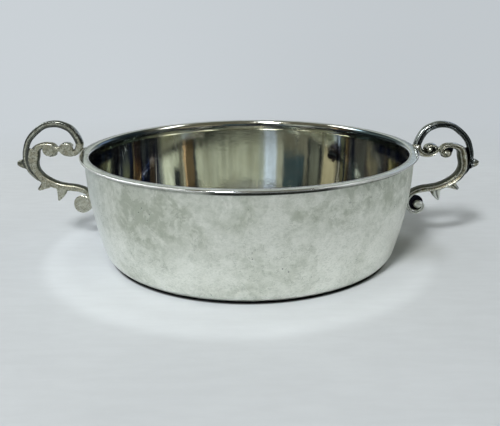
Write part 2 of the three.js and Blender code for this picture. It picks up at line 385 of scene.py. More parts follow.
# The bowl. It is one round sheet of silver, raised into a curved wall with a tight corner and
# a flat base. Outside it has dulled to a mottled grey with stains, creases, pits and rubbing
# marks, with painted shade under the lip and down the left side. Inside it is polished, but its
# two ends are darkened with painted shade and a few painted reflection streaks, and it has one
# painted dark reflection.
wall_height = 0.0462
wall_top_radius = 0.0729
wall_curve_radius = 0.142
base_corner_radius = 0.007
sheet_thickness = 0.0012
turn_steps = 256
wall_steps = 28
corner_steps = 10
smooth_edge_angle = 0.7
merge_distance = 1e-6
floor_facing = 0.5
clean_tone = (0.91, 0.915, 0.845)
stained_tone = (0.49, 0.52, 0.43)
worn_roughness = (0.33, 0.52)
broad_scale = 55
broad_stain_range = (0.38, 0.68)
broad_stain_strength = 0.6
stain_place = (-0.035, -0.062, 0.031)
stain_radii = (0.004, 0.024)
stain_strength = 0.55
upper_darkening_heights = (0.014, 0.044)
upper_darkening_strength = 0.6
mottle_scale = 330
mottle_range = (0.25, 0.75)
mottle_gains = (0.5, 1.2)
mottle_bump = (0.35, 0.00025)
speckle_range = (0.56, 0.80)
speckle_strength = 0.6
island_tone = (0.95, 0.955, 0.89)
island_scale = 105
island_range = (0.50, 0.535)
island_strength = 0.33
crease_tone = (0.36, 0.385, 0.32)
crease_scale = 170
crease_range = (0.002, 0.010)
crease_strength = 0.55
creased_range = (0.44, 0.56)
grain_tone = (0.55, 0.58, 0.50)
grain_scale = 1000
grain_stretch = (1, 1, 1.7)
grain_range = (0.38, 0.66)
grain_strength = 0.6
grained_range = (0.36, 0.6)
grained_gains = (0.35, 1.0)
painted_left_shade_tone = (0.52, 0.58, 0.60)
painted_left_shade_span = (-0.052, -0.07)
painted_left_shade_strength = 0.45
wall_grime_and_shade_tone = (0.035, 0.038, 0.032)
wall_grime_and_shade_drops = (0.0008, 0.0005)
wall_grime_and_shade_left_span = (-0.018, -0.011)
wall_grime_and_shade_left_gains = (0.3, 1.0)
wall_grime_and_shade_right_span = (0.036, 0.026)
wall_grime_and_shade_right_gains = (0.45, 1.0)
pit_tone = (0.10, 0.11, 0.10)
pit_scale = 330
pit_range = (0.06, 0.13)
pit_strength = 0.8
pit_bump = (0.7, 0.0003)
pitted_range = (0.5, 0.62)
rub_scale = 260
rub_stretch = (1, 1, 9)
rub_bump = (0.25, 0.0001)


def arc(centre_r, centre_z, radius, start, end, steps):
    """Points of a section along an arc, as radius from the axis and height."""
    angles = [start + (end - start) * i / steps for i in range(steps + 1)]
    return [(centre_r + radius * math.cos(a), centre_z + radius * math.sin(a)) for a in angles]


def turned(name, section, closed=False):
    """A piece made by turning its section once round the bowl's axis."""
    shape = bmesh.new()
    line = [shape.verts.new((r, 0, z)) for r, z in section]
    ends = zip(line, line[1:] + line[:1]) if closed else zip(line, line[1:])
    for one, next_one in ends:
        shape.edges.new((one, next_one))
    bmesh.ops.spin(
        shape, geom=shape.verts[:] + shape.edges[:], cent=(0, 0, 0), axis=(0, 0, 1),
        angle=2 * math.pi, steps=turn_steps, use_merge=True,
    )
    bmesh.ops.remove_doubles(shape, verts=shape.verts[:], dist=merge_distance)
    bmesh.ops.recalc_face_normals(shape, faces=shape.faces[:])
    return piece(name, shape)


def piece(name, shape):
    """A smooth-shaded object of the scene made from a mesh, with its sharp edges kept."""
    made = bpy.data.objects.new(name, bpy.data.meshes.new(name))
    shape.to_mesh(made.data)
    shape.free()
    made.data.shade_smooth()
    made.data.set_sharp_from_angle(angle=smooth_edge_angle)
    scene.collection.objects.link(made)
    return made


def metal(name):
    """A finish of bare metal, and its tree and shader for the section to work on."""
    finish = bpy.data.materials.new(name)
    finish.use_nodes = True
    shader = finish.node_tree.nodes["Principled BSDF"]
    shader.inputs["Metallic"].default_value = 1
    return finish, finish.node_tree, shader


def bumped(tree, pattern, strength, depth, over=None, invert=False):
    """The surface's slope with a pattern pressed in, over an earlier slope where there is one."""
    sockets = {"Height": pattern, "Strength": strength, "Distance": depth}
    if over is not None:
        sockets["Normal"] = over
    return node(tree, "Bump", sockets, invert=invert)


wall_centre = (wall_top_radius - wall_curve_radius, wall_height)
centre_span = wall_curve_radius - base_corner_radius
join_angle = math.asin((wall_height - base_corner_radius) / centre_span)
corner_centre = (wall_centre[0] + centre_span * math.cos(join_angle), base_corner_radius)
faces_of_sheet = []
for depth in (0, sheet_thickness):
    corner_radius = base_corner_radius - depth
    curve_radius = wall_curve_radius - depth
    corner = arc(*corner_centre, corner_radius, -math.pi / 2, -join_angle, corner_steps)
    wall = arc(*wall_centre, curve_radius, -join_angle, 0, wall_steps)
    faces_of_sheet.append([(0, depth)] + corner + wall[1:])
outside, inside = faces_of_sheet
bowl = turned("bowl", outside + inside[::-1])

# The outside's finish, from the broad stains and the darkening towards the top down to the
# grain, a painted bluish shade down the left side, grime with painted shade under the lip, and
# the pits
worn, tree, shader = metal("worn_silver")
where = place_in(tree)
across = axis(tree, where, "X")
height = axis(tree, where, "Z")
broad = noise(tree, where, broad_scale, detail=5, twist=0.5)
mottle = noise(tree, where, mottle_scale, detail=6, roughness=0.7, twist=0.3)
cloud = span(tree, broad, *broad_stain_range, end=broad_stain_strength)
stain = near(tree, where, stain_place, *stain_radii, stain_strength)
# The wall grows darker towards the top
upper_darkening = span(tree, height, *upper_darkening_heights, end=upper_darkening_strength)
cloud = worked(tree, "ADD", worked(tree, "ADD", cloud, stain), upper_darkening)
cloud = times(tree, cloud, span(tree, mottle, *mottle_range, *mottle_gains))
speckle = span(tree, mottle, *speckle_range, end=speckle_strength)
dulled = worked(tree, "MAXIMUM", cloud, speckle)
tone = mixed(tree, dulled, clean_tone, stained_tone)
islands = noise(tree, where, island_scale, detail=6, roughness=0.62, twist=0.9)
islands = span(tree, islands, *island_range, end=island_strength)
tone = mixed(tree, islands, tone, island_tone)
folds = noise(tree, where, crease_scale, twist=0.5)
folds = worked(tree, "ABSOLUTE", worked(tree, "SUBTRACT", folds, noise_middle))
creases = span(tree, folds, *crease_range, start=crease_strength, end=0.0)
creases = times(tree, creases, span(tree, broad, *creased_range))
tone = mixed(tree, creases, tone, crease_tone)
grain = noise(tree, stretched(tree, where, grain_stretch), grain_scale, detail=5, roughness=0.78)
grain = span(tree, grain, *grain_range, end=grain_strength)
grain = times(tree, grain, span(tree, mottle, *grained_range, *grained_gains))
tone = mixed(tree, grain, tone, grain_tone)
# Painted bluish shade down the left side of the outside
painted_left_shade = span(tree, across, *painted_left_shade_span, end=painted_left_shade_strength)
tone = mixed(tree, painted_left_shade, tone, painted_left_shade_tone)
# Grime and painted shade in a dark line under the lip, along the front
wall_grime_and_shade = times(
    tree,
    span(tree, height, *[wall_height - drop for drop in wall_grime_and_shade_drops]),
    span(tree, across, *wall_grime_and_shade_left_span, *wall_grime_and_shade_left_gains),
    span(tree, across, *wall_grime_and_shade_right_span, *wall_grime_and_shade_right_gains),
)
tone = mixed(tree, wall_grime_and_shade, tone, wall_grime_and_shade_tone)
pits = node(tree, "TexVoronoi", {"Vector": where, "Scale": pit_scale})
pits = span(tree, pits, *pit_range, start=1.0, end=0.0)
pits = times(tree, pits, span(tree, broad, *pitted_range))
tone = mixed(tree, times(tree, pits, pit_strength), tone, pit_tone)
tree.links.new(tone, shader.inputs["Base Color"])
tree.links.new(span(tree, dulled, 0.0, 1.0, *worn_roughness), shader.inputs["Roughness"])
rub_marks = noise(tree, stretched(tree, where, rub_stretch), rub_scale, detail=3)
rough_face = bumped(tree, mottle, *mottle_bump)
rough_face = bumped(tree, rub_marks, *rub_bump, rough_face)
rough_face = bumped(tree, pits, *pit_bump, rough_face, invert=True)
tree.links.new(rough_face, shader.inputs["Normal"])

# Upright painted reflection streaks over the painted shade at the ends: from where, to where,
# and what colour
streaks = [
    (-0.0656, -0.0648, (0.80, 0.84, 0.88)),
    (-0.0643, -0.0615, (0.20, 0.21, 0.15)),
    (-0.0601, -0.0594, (0.95, 0.72, 0.38)),
    (-0.0594, -0.0568, (0.27, 0.18, 0.095)),
    (-0.0530, -0.0507, (0.20, 0.15, 0.10)),
    (-0.0503, -0.0498, (0.75, 0.72, 0.62)),
    (0.0515, 0.0597, (0.085, 0.125, 0.125)),
    (0.0599, 0.0622, (0.30, 0.26, 0.18)),
]
streak_edge = 0.0002
streak_heights = (0.036, 0.023)
streak_gains = (0.1, 1.0)
bright_tone = (0.76, 0.76, 0.66)
smudged_tone = (0.70, 0.69, 0.58)
smudge_scale = 60
smudge_range = (0.42, 0.68)
smudge_bump = (0.12, 0.0004)
bright_smooth_range = (0.35, 0.75)
bright_roughness = (0.03, 0.09)
ring_scale = 120
ring_stretch = (1, 1, 22)
ring_bump = (0.12, 0.00004)
upright_scale = 190
upright_stretch = (1, 1, 0.1)
left_end_span = (-0.0483, -0.0495)
right_end_span = (0.0515, 0.055)
right_end_paler_span = (0.055, 0.056)
right_end_paler_gains = (1.0, 0.72)
far_side_span = (0.018, 0.025)
tip_span = (0.0605, 0.0645)
tip_heights = (0.0355, 0.0385)
painted_end_range = (0.38, 0.6)
painted_end_gains = (1.0, 0.92)
painted_end_metal = (1.0, 0.88)
painted_end_tone_range = (0.3, 0.7)
painted_end_tones = ((0.010, 0.015, 0.050), (0.022, 0.032, 0.056))
bright_glance_tone = (1, 1, 1)
painted_end_glance_tone = (0.36, 0.42, 0.60)
painted_patch_tone = (0.085, 0.06, 0.07)
painted_patch_place = (0.0530, 0.0572, 0.0287)
painted_patch_radii = (0.0034, 0.0052)
painted_patch_strength = 0.9
painted_patch_stretch = (1, 1, 0.75)
painted_patch_wander_scale = 210
painted_patch_wander = (0.010, 0.004, 0.010)

# The inside's finish: the smudged polish, then painted shade at the ends with painted reflection
# streaks, then a painted dark reflection
bright, tree, shader = metal("bright_silver")
where = place_in(tree)
across = axis(tree, where, "X")
height = axis(tree, where, "Z")
smudges = noise(tree, where, smudge_scale, twist=0.3)
rings = noise(tree, stretched(tree, where, ring_stretch), ring_scale, roughness=0.65)
upright = noise(tree, stretched(tree, where, upright_stretch), upright_scale, roughness=0.7)
tone = mixed(tree, span(tree, smudges, *smudge_range), bright_tone, smudged_tone)
# Painted shade: the two ends of the inside's far half, and the tips by the rim, turn near-black
# blue and a little less metallic
left_end = span(tree, across, *left_end_span)
right_end = span(tree, across, *right_end_span)
ends = times(
    tree,
    worked(tree, "MAXIMUM", left_end, right_end),
    span(tree, axis(tree, where, "Y"), *far_side_span),
    span(tree, across, *right_end_paler_span, *right_end_paler_gains),
)
sideways = worked(tree, "ABSOLUTE", across)
tips = times(tree, span(tree, sideways, *tip_span), span(tree, height, *tip_heights))
painted_end_shade = worked(tree, "MAXIMUM", ends, tips)
painted_end_shade = times(tree, painted_end_shade, span(tree, upright, *painted_end_range, *painted_end_gains))
painted_end_colour = mixed(tree, span(tree, upright, *painted_end_tone_range), *painted_end_tones)
# Each painted reflection streak is laid over the painted shade
for start, end, colour in streaks:
    painted_streak = times(
        tree,
        span(tree, across, start - streak_edge, start + streak_edge),
        span(tree, across, end + streak_edge, end - streak_edge),
        span(tree, height, *streak_heights, *streak_gains),
    )
    painted_end_colour = mixed(tree, painted_streak, painted_end_colour, colour)
tone = mixed(tree, painted_end_shade, tone, painted_end_colour)
# A painted dark reflection: a patch with a wandering edge on the right of the inside
wander = noise(tree, where, painted_patch_wander_scale, detail=3)
shift = node(tree, "VectorMath", {0: painted_patch_wander, "Scale": wander}, operation="SCALE")
uneven = node(tree, "VectorMath", {0: where, 1: shift}, operation="ADD")
uneven = stretched(tree, uneven, painted_patch_stretch)
tone = mixed(tree, near(tree, uneven, painted_patch_place, *painted_patch_radii, painted_patch_strength), tone, painted_patch_tone)
# The painted shade also tints glancing reflections blue
glance_tone = mixed(tree, painted_end_shade, bright_glance_tone, painted_end_glance_tone)
tree.links.new(tone, shader.inputs["Base Color"])
tree.links.new(glance_tone, shader.inputs["Specular Tint"])
tree.links.new(span(tree, painted_end_shade, 0.0, 1.0, *painted_end_metal), shader.inputs["Metallic"])
smooth = span(tree, smudges, *bright_smooth_range, *bright_roughness)
tree.links.new(smooth, shader.inputs["Roughness"])
waves = bumped(tree, smudges, *smudge_bump)
tree.links.new(bumped(tree, rings, *ring_bump, waves), shader.inputs["Normal"])

bowl.data.materials.append(worn)
bowl.data.materials.append(bright)
for face in bowl.data.polygons:
    towards_axis = face.normal.xy.dot(face.center.xy) < 0
    face.material_index = int(towards_axis or face.normal.z > floor_facing)
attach(bowl, "root")
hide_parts("bowl_body")

# The rim moulding. It is a ring of silver wire, drawn to a flat top with rounded edges and a
# swelling skirt inside. It is soldered over the wall's top edge, and hands keep it bright.
lip_overhang = 0.0021
rim_top_thickness = 0.00145
rim_skirt_height = 0.0034
edge = 0.0004
lip_thickness = 0.0008
skirt_thickness = 0.0012
rim_round_width = 0.0013
rim_round_height = 0.0036
round_steps = 12
edge_steps = 4
seat_gap = 0.0003
rim_tone = (0.74, 0.74, 0.71)
rim_roughness = (0.08, 0.17)
rim_smooth_range = (0.3, 0.75)
rim_smudge_tone = (0.63, 0.62, 0.56)
rim_smudge_scale = 260
rim_smudge_range = (0.45, 0.7)
drawn_scale = 420
drawn_stretch = (1, 1, 14)
drawn_bump = (0.2, 0.00006)
band_middle_tone = (0.52, 0.51, 0.43)
band_side_tone = (0.09, 0.12, 0.125)
band_side_span = (0.046, 0.058)
band_blur = 0.0002
far_half_span = (-0.01, 0.01)
lip_grime_and_shade_tone = (0.05, 0.052, 0.045)
lip_grime_and_shade_drops = (0.0003, 0.0005)
lip_grime_and_shade_left_span = (-0.017, -0.012)
lip_grime_and_shade_right_span = (0.036, 0.027)
lip_grime_and_shade_range = (0.35, 0.6)
lip_grime_and_shade_gains = (0.75, 0.97)
lip_edge_depths = (0.0006, 0.0003)
matt_lip_span = (0.018, 0.026)
matt_lip_roughness = 0.28
in_plan = (1, 1, 0)

rim_outer = wall_top_radius + lip_overhang
skirt_radius = wall_top_radius - sheet_thickness
rim_inner = skirt_radius - seat_gap - skirt_thickness
rim_top = wall_height + rim_top_thickness
skirt_foot = wall_height - rim_skirt_height
section = [(skirt_radius, wall_height), (wall_top_radius, wall_height)]
section += arc(rim_outer - edge, rim_top - lip_thickness + edge, edge, -math.pi / 2, 0, edge_steps)
section += arc(rim_outer - edge, rim_top - edge, edge, 0, math.pi / 2, edge_steps)
for turn_in, drop in arc(0, 0, 1, math.pi / 2, 0, round_steps):
    place = rim_inner + rim_round_width * (1 - turn_in)
    section.append((place, rim_top - rim_round_height * (1 - drop)))
section += arc(rim_inner + edge, skirt_foot + edge, edge, -math.pi, -math.pi / 2, edge_steps)
section += [(skirt_radius, skirt_foot)]
rim = turned("rim", section, closed=True)

# Its finish: smudged above, painted shade on the far half of the band inside, and grime with
# painted shade under the lip in front
polish, tree, shader = metal("polished_silver")
where = place_in(tree)
across = axis(tree, where, "X")
sideways = worked(tree, "ABSOLUTE", across)
from_axis = node(tree, "VectorMath", {0: stretched(tree, where, in_plan)}, operation="LENGTH")
smudges = noise(tree, where, rim_smudge_scale, roughness=0.62, twist=0.3)
drawn = noise(tree, stretched(tree, where, drawn_stretch), drawn_scale, detail=3)
tone = mixed(tree, span(tree, smudges, *rim_smudge_range), rim_tone, rim_smudge_tone)
# Painted shade on the far half of the band inside: olive in the middle, darker towards the ends
band_edge = rim_inner + rim_round_width
within = times(
    tree,
    span(tree, from_axis, band_edge, band_edge - band_blur),
    span(tree, axis(tree, where, "Y"), *far_half_span),
)
band_tone = mixed(tree, span(tree, sideways, *band_side_span), band_middle_tone, band_side_tone)
tone = mixed(tree, within, tone, band_tone)
outermost = span(tree, from_axis, *[rim_outer - depth for depth in lip_edge_depths])
# Grime and painted shade in a dark line on the lower part of the lip's outer edge, along the front
lip_grime_and_shade = times(
    tree,
    span(tree, axis(tree, where, "Z"), *[rim_top - drop for drop in lip_grime_and_shade_drops]),
    span(tree, across, *lip_grime_and_shade_left_span),
    span(tree, across, *lip_grime_and_shade_right_span),
    outermost,
    span(tree, smudges, *lip_grime_and_shade_range, *lip_grime_and_shade_gains),
)
tone = mixed(tree, lip_grime_and_shade, tone, lip_grime_and_shade_tone)
tree.links.new(tone, shader.inputs["Base Color"])
matt_lip = span(tree, sideways, *matt_lip_span, end=matt_lip_roughness)
smooth = span(tree, smudges, *rim_smooth_range, *rim_roughness)
smooth = worked(tree, "ADD", smooth, times(tree, outermost, matt_lip))
tree.links.new(smooth, shader.inputs["Roughness"])
tree.links.new(bumped(tree, drawn, *drawn_bump), shader.inputs["Normal"])
rim.data.materials.append(polish)
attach(rim, "root")
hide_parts("rim_moulding")

# The handles. Each is one flat-backed silver casting of a crest scroll and a body scroll with
# curled ends, a spur and two thorns. Its channelled front is bright on the ridges and black in
# the hollows, the crest's arch is a cooler grey, and the back is plain and stained brown.
# Painted shade darkens the inner side of each band, most of all on the arch, and the spur and
# the edges of the arch's back.
handle_reach = 0.0304
handle_height = 0.0433
rim_touch_share = 0.71
handle_depth = 0.0045
band_width = 0.0026
foot_curl_size = 0.009
web_thickness = 0.0013
handle_offset = 0.001
foot_land_gap = 0.001
root_depth_share = 0.85
tip_depth_share = 0.55
ring_steps = 8
eye_sides = 32
eye_rings = 20
web_sides = 48
voxel_size = 0.00021
softening_rounds = 4
hollow_rounds = 24
hollow_depth = 0.0002
shallow_hollow = 0.45
sunk_start = 0.0022
sunk_depth = 0.0005
smoothing_factor = 0.5
light_stain_tone = (0.64, 0.65, 0.55)
brown_stain_tone = (0.31, 0.285, 0.19)
cast_stain_scale = 480
cast_stain_range = (0.36, 0.62)
cast_stain_bump = (0.3, 0.0003)
cast_smooth_range = (0.3, 0.7)
cast_roughness = (0.28, 0.5)
pore_tone = (0.07, 0.064, 0.038)
pore_scale = 1100
pore_range = (0.48, 0.61)
pore_strength = 0.85
pore_bump = (0.4, 0.0001)
ridge_tone = (0.78, 0.78, 0.70)
ridge_range = (-0.2, -1.2)
ridge_strength = 0.8
ridge_back_range = (0.0, 0.5)
ridge_back_gains = (1.0, 0.1)
ridge_smooth_gains = (1.0, 0.6)
behind_range = (0.1, 0.6)
cool_tone = (0.32, 0.35, 0.35)
cool_gains = (0.72, 0.1)
cool_smooth_gains = (1.0, 0.6)
rubbed_tone = (0.74, 0.76, 0.71)
rubbed_gains = (0.88, 0.3)
back_tone = (0.45, 0.445, 0.35)
back_range = (0.2, 0.9)
back_strength = 0.45
back_speck_tone = (0.075, 0.068, 0.04)
back_speck_scale = 2300
back_speck_range = (0.56, 0.64)
back_speck_strength = 0.8
warm_shade_tone = (0.066, 0.072, 0.052)
cool_shade_tone = (0.032, 0.040, 0.040)
hollow_tone = (0.010, 0.010, 0.014)
hollow_range = (0.15, 0.75)

rim_middle = wall_height + rim_top_thickness / 2
handle_base = rim_middle - handle_height * rim_touch_share
foot_height = handle_base + foot_curl_size
foot_drop = wall_centre[1] - foot_height
foot_land = wall_centre[0] + math.sqrt(wall_curve_radius**2 - foot_drop**2) + foot_land_gap

# Points on each band's centre line, as shares of the reach, the height and the band's width
crest_shares = [
    (0.172, 0.722, 0.42), (0.213, 0.749, 0.54), (0.288, 0.749, 0.62), (0.342, 0.709, 0.69),
    (0.299, 0.665, 0.77), (0.214, 0.649, 0.85), (0.127, 0.664, 1), (0.068, 0.709, 1.2),
    (0.056, 0.781, 1.3), (0.146, 0.897, 1.28), (0.262, 0.949, 1.2), (0.391, 0.968, 1.15),
    (0.551, 0.948, 1.08), (0.698, 0.876, 1.08), (0.797, 0.798, 0.98), (0.848, 0.713, 0.93),
    (0.874, 0.628, 0.86), (0.867, 0.55, 0.78), (0.83, 0.476, 0.68), (0.768, 0.42, 0.56),
    (0.711, 0.374, 0.31),
]
body_shares = [
    (0.443, 0.652, 0.62), (0.409, 0.689, 0.65), (0.438, 0.73, 0.73), (0.513, 0.748, 0.77),
    (0.615, 0.739, 0.96), (0.701, 0.702, 1.35), (0.732, 0.635, 1.62), (0.754, 0.554, 1.52),
    (0.744, 0.48, 1.62), (0.682, 0.408, 1.6), (0.565, 0.35, 1.44), (0.431, 0.31, 1.28),
    (0.296, 0.29, 1.22), (0.158, 0.278, 1.15),
]
foot_shares = [
    (0.44, 1.21, 1.04), (0.185, 0.98, 0.92), (0.095, 0.622, 0.7), (0.255, 0.27, 0.7),
    (0.573, 0.13, 0.72), (0.84, 0.25, 0.66), (0.925, 0.46, 0.6), (0.86, 0.6, 0.54),
]
spur_shares = [(0.868, 0.552, 2.05), (0.94, 0.554, 1.4), (0.996, 0.558, 0.7)]
outer_thorn_shares = [(0.6, 0.332, 1.9), (0.66, 0.3, 1.1), (0.724, 0.268, 0.5)]
inner_thorn_shares = [
    (0.375, 0.277, 2), (0.387, 0.231, 1.6), (0.411, 0.188, 1), (0.437, 0.148, 0.3),
]
bridge_shares = [(0.32, 0.71, 1), (0.378, 0.704, 0.85), (0.43, 0.7, 1)]
crotch_web_shares = [(0.772, 0.712, 0.7), (0.797, 0.64, 1.1), (0.812, 0.56, 1.2), (0.8, 0.48, 1)]
# An eye's place, its width and its height, and a web's place and diameter
crest_eye_shares = (0.228, 0.709, 1.2, 1.06)
body_eye_shares = (0.486, 0.66, 2, 1.46)
foot_eye_shares = (0.7, 0.51, 1.8, 1.5)
crest_web_shares = (0.232, 0.705, 1.95)
body_web_shares = (0.513, 0.695, 2.08)
foot_web_shares = (0.55, 0.533, 3.08)
# A band's section, across and through, as shares of its width and depth
section_shares = [
    (-0.5, 0.3), (-0.41, 0.43), (-0.26, 0.5), (0.26, 0.5), (0.41, 0.43), (0.5, 0.3),
    (0.5, -0.12), (0.44, -0.34), (0.33, -0.48), (0.2, -0.5), (0.08, -0.38), (0, -0.27),
    (-0.08, -0.38), (-0.2, -0.5), (-0.33, -0.48), (-0.44, -0.34), (-0.5, -0.12),
]

# Where the finish changes on the casting. Reaches and rises are shares of the handle's reach
# and height, and those outward are shares of the band's width on the outer side of its centre
arch_reach = 0.6
arch_rise = 0.76
crest_curl_reach = 0.4
channel_rise = 0.62
spur_reach = 0.92
spur_rises = (0.48, 0.62)
spur_ridge_rise = 0.55
spur_shades = (0.8, 0.45)
thorn_reaches = (0.34, 0.47)
thorn_rise = 0.27
foot_curl_margin = 0.0006
off_band_outward = 0.7
band_edge_outward = 0.5
side_outward = -0.28
shade_blur = 0.12
arch_shade = 0.9
arch_shade_reaches = (0.2, 0.6)
arch_shade_outward = 0.2
arch_shade_growth = 0.3
body_shade = 0.2
body_shade_outward = 0.04
back_shade = 0.8
back_ridge_outward = 0.06
back_ridge_half = 0.09
side_shade = 0.9
front_facing = -0.5
back_facing = 0.3
flat_back_facing = 0.85


def in_plane(shares):
    """A place in the handle's plane, with the width there as the middle number."""
    across, up, width = shares[:3]
    return Vector(
        (rim_outer + across * handle_reach, width * band_width, handle_base + up * handle_height)
    )


def in_foot(shares):
    """The same for the foot's curl, which has its own size and stands by the wall."""
    across, up, width = shares[:3]
    return Vector(
        (foot_land + across * foot_curl_size, width * band_width, handle_base + up * foot_curl_size)
    )


def smooth_line(points):
    """Many points on a smooth line through a few."""
    line = []
    for i in range(len(points) - 1):
        before = points[max(i - 1, 0)]
        start, end = points[i], points[i + 1]
        after = points[min(i + 2, len(points) - 1)]
        for k in range(ring_steps):
            t = k / ring_steps
            curve = (end - before) * t + (2 * before - 5 * start + 4 * end - after) * t**2
            curve += (3 * start - before - 3 * end + after) * t**3
            line.append(start + curve / 2)
    return line + [points[-1]]


def band(shape, points, start_depth, end_depth):
    """A channelled band, its section pushed along a smooth line and flush behind."""
    line = smooth_line(points)
    rings = []
    for i, place in enumerate(line):
        along = line[min(i + 1, len(line) - 1)] - line[max(i - 1, 0)]
        along.y = 0
        along.normalize()
        depth = start_depth + (end_depth - start_depth) * i / (len(line) - 1)
        across = Vector((-along.z, 0, along.x)) * place.y
        middle = Vector((place.x, (handle_depth - depth) / 2, place.z))
        turn = Matrix((across, (0, depth, 0), along)).transposed().to_4x4()
        rings.append(Matrix.Translation(middle) @ turn)
    corners = [shape.verts.new(rings[0] @ Vector((a, t, 0))) for a, t in section_shares]
    cap = shape.faces.new(corners)
    for ring, next_ring in zip(rings, rings[1:]):
        pushed = bmesh.ops.extrude_face_region(shape, geom=[cap])["geom"]
        cap = next(part for part in pushed if isinstance(part, bmesh.types.BMFace))
        bmesh.ops.transform(shape, matrix=next_ring @ ring.inverted(), verts=cap.verts[:])


def eye(shape, place, tall_share):
    """A rounded boss in the middle of a curl."""
    size = Matrix.Diagonal((place.y / 2, handle_depth / 2, tall_share * band_width / 2, 1))
    where = Matrix.Translation((place.x, 0, place.z)) @ size
    bmesh.ops.create_uvsphere(
        shape, u_segments=eye_sides, v_segments=eye_rings, radius=1, matrix=where
    )


def web(shape, place):
    """A thin disc that closes a curl behind."""
    middle = (place.x, (handle_depth - web_thickness) / 2, place.z)
    where = Matrix.Translation(middle) @ Matrix.Rotation(math.pi / 2, 4, "X")
    bmesh.ops.create_cone(
        shape, cap_ends=True, segments=web_sides, radius1=place.y / 2, radius2=place.y / 2,
        depth=web_thickness, matrix=where,
    )


def stored(tree, name):
    """A value that the mesh holds."""
    read = tree.nodes.new("ShaderNodeAttribute")
    read.attribute_name = name
    return read.outputs["Fac"]


def how_far(value, low, high):
    """How far a value lies from one number towards another, from none to all of the way."""
    return min(max((value - low) / (high - low), 0), 1)


def band_shade(on_arch, reach, outward, facing):
    """How much painted shade a band gets, which depends on how far outward and backward it lies."""
    if abs(outward) > off_band_outward:
        return 0
    if outward < side_outward and facing < flat_back_facing:
        return side_shade
    if facing > back_facing:
        ridge_side = abs(outward - back_ridge_outward) - back_ridge_half
        return how_far(ridge_side, 0, shade_blur) * back_shade if on_arch else 0
    if on_arch:
        growth = how_far(reach, *arch_shade_reaches) * arch_shade_growth
        dark_limit = arch_shade_outward + growth
        return how_far(outward, dark_limit, dark_limit - shade_blur) * arch_shade
    return how_far(outward, body_shade_outward, body_shade_outward - shade_blur) * body_shade


shape = bmesh.new()
root_depth = handle_depth * root_depth_share
tip_depth = handle_depth * tip_depth_share
body_line = [in_plane(s) for s in body_shares] + [in_foot(s) for s in foot_shares]
band(shape, [in_plane(s) for s in crest_shares], handle_depth, tip_depth)
band(shape, body_line, handle_depth, handle_depth)
for shares in (spur_shares, outer_thorn_shares, inner_thorn_shares):
    band(shape, [in_plane(s) for s in shares], root_depth, tip_depth)
band(shape, [in_plane(s) for s in bridge_shares], tip_depth, tip_depth)
band(shape, [in_plane(s) for s in crotch_web_shares], web_thickness, web_thickness)
eye(shape, in_plane(crest_eye_shares), crest_eye_shares[3])
eye(shape, in_plane(body_eye_shares), body_eye_shares[3])
eye(shape, in_foot(foot_eye_shares), foot_eye_shares[3])
web(shape, in_plane(crest_web_shares))
web(shape, in_plane(body_web_shares))
web(shape, in_foot(foot_web_shares))
bmesh.ops.recalc_face_normals(shape, faces=shape.faces[:])
pattern = piece("pattern", shape)
fused = pattern.modifiers.new("fused", "REMESH")
fused.mode = "VOXEL"
fused.voxel_size = voxel_size
softened = pattern.modifiers.new("softened", "SMOOTH")
softened.iterations = softening_rounds
casting = bmesh.new()
casting.from_object(pattern, bpy.context.evaluated_depsgraph_get())
bpy.data.objects.remove(pattern)

# A copy smoothed many times shows where the casting is hollow and where it stands proud. The
# finish reads that, how much painted shade each place gets, and whether it is cool, rubbed or
# behind
rounded = casting.copy()
for _ in range(hollow_rounds):
    bmesh.ops.smooth_vert(
        rounded, verts=rounded.verts[:], factor=smoothing_factor,
        use_axis_x=True, use_axis_y=True, use_axis_z=True,
    )
crest_line = smooth_line([in_plane(s) for s in crest_shares])
centre_lines = (crest_line, smooth_line(body_line))
centres = [(line, i) for line in centre_lines for i in range(1, len(line) - 1)]
nearest = KDTree(len(centres))
for k, (line, i) in enumerate(centres):
    nearest.insert((line[i].x, 0, line[i].z), k)
nearest.balance()
hollow, shaded, cool, rubbed, behind = [
    casting.verts.layers.float.new(name)
    for name in ("hollow", "shaded", "cool", "rubbed", "behind")
]
for cast, round_one in zip(casting.verts, rounded.verts):
    pressed = (round_one.co - cast.co).dot(cast.normal) / hollow_depth
    if cast.normal.y < front_facing:
        pressed = max(pressed, (cast.co.y + handle_depth / 2 - sunk_start) / sunk_depth)
    line, i = centres[nearest.find((cast.co.x, 0, cast.co.z))[1]]
    along = (line[i + 1] - line[i - 1]).normalized()
    away = cast.co - line[i]
    outward = (along.x * away.z - along.z * away.x) / line[i].y
    rise = (cast.co.z - handle_base) / handle_height
    reach = (cast.co.x - rim_outer) / handle_reach
    on_crest = line is crest_line
    on_arch = on_crest and (rise > arch_rise or reach > arch_reach)
    on_crest_curl = on_crest and reach < crest_curl_reach and rise < arch_rise
    on_spur = reach > spur_reach and spur_rises[0] < rise < spur_rises[1]
    in_thorn = thorn_reaches[0] < reach < thorn_reaches[1] and rise < thorn_rise
    in_foot_curl = cast.co.z < foot_height + foot_curl_margin
    in_channel = not on_crest and (rise < channel_rise or reach > arch_reach) and not in_foot_curl
    if on_crest_curl or in_channel and abs(outward) < band_edge_outward:
        pressed = min(pressed, shallow_hollow)
    bare = in_thorn or in_foot_curl
    dark = 0 if bare else band_shade(on_arch, reach, outward, cast.normal.y)
    if on_spur:
        dark = spur_shades[0] if rise > spur_ridge_rise else spur_shades[1]
    cast[hollow] = pressed
    cast[shaded] = dark
    cast[cool] = float(on_arch and not on_spur)
    cast[rubbed] = float(bare)
    cast[behind] = max(cast.normal.y, 0)
rounded.free()

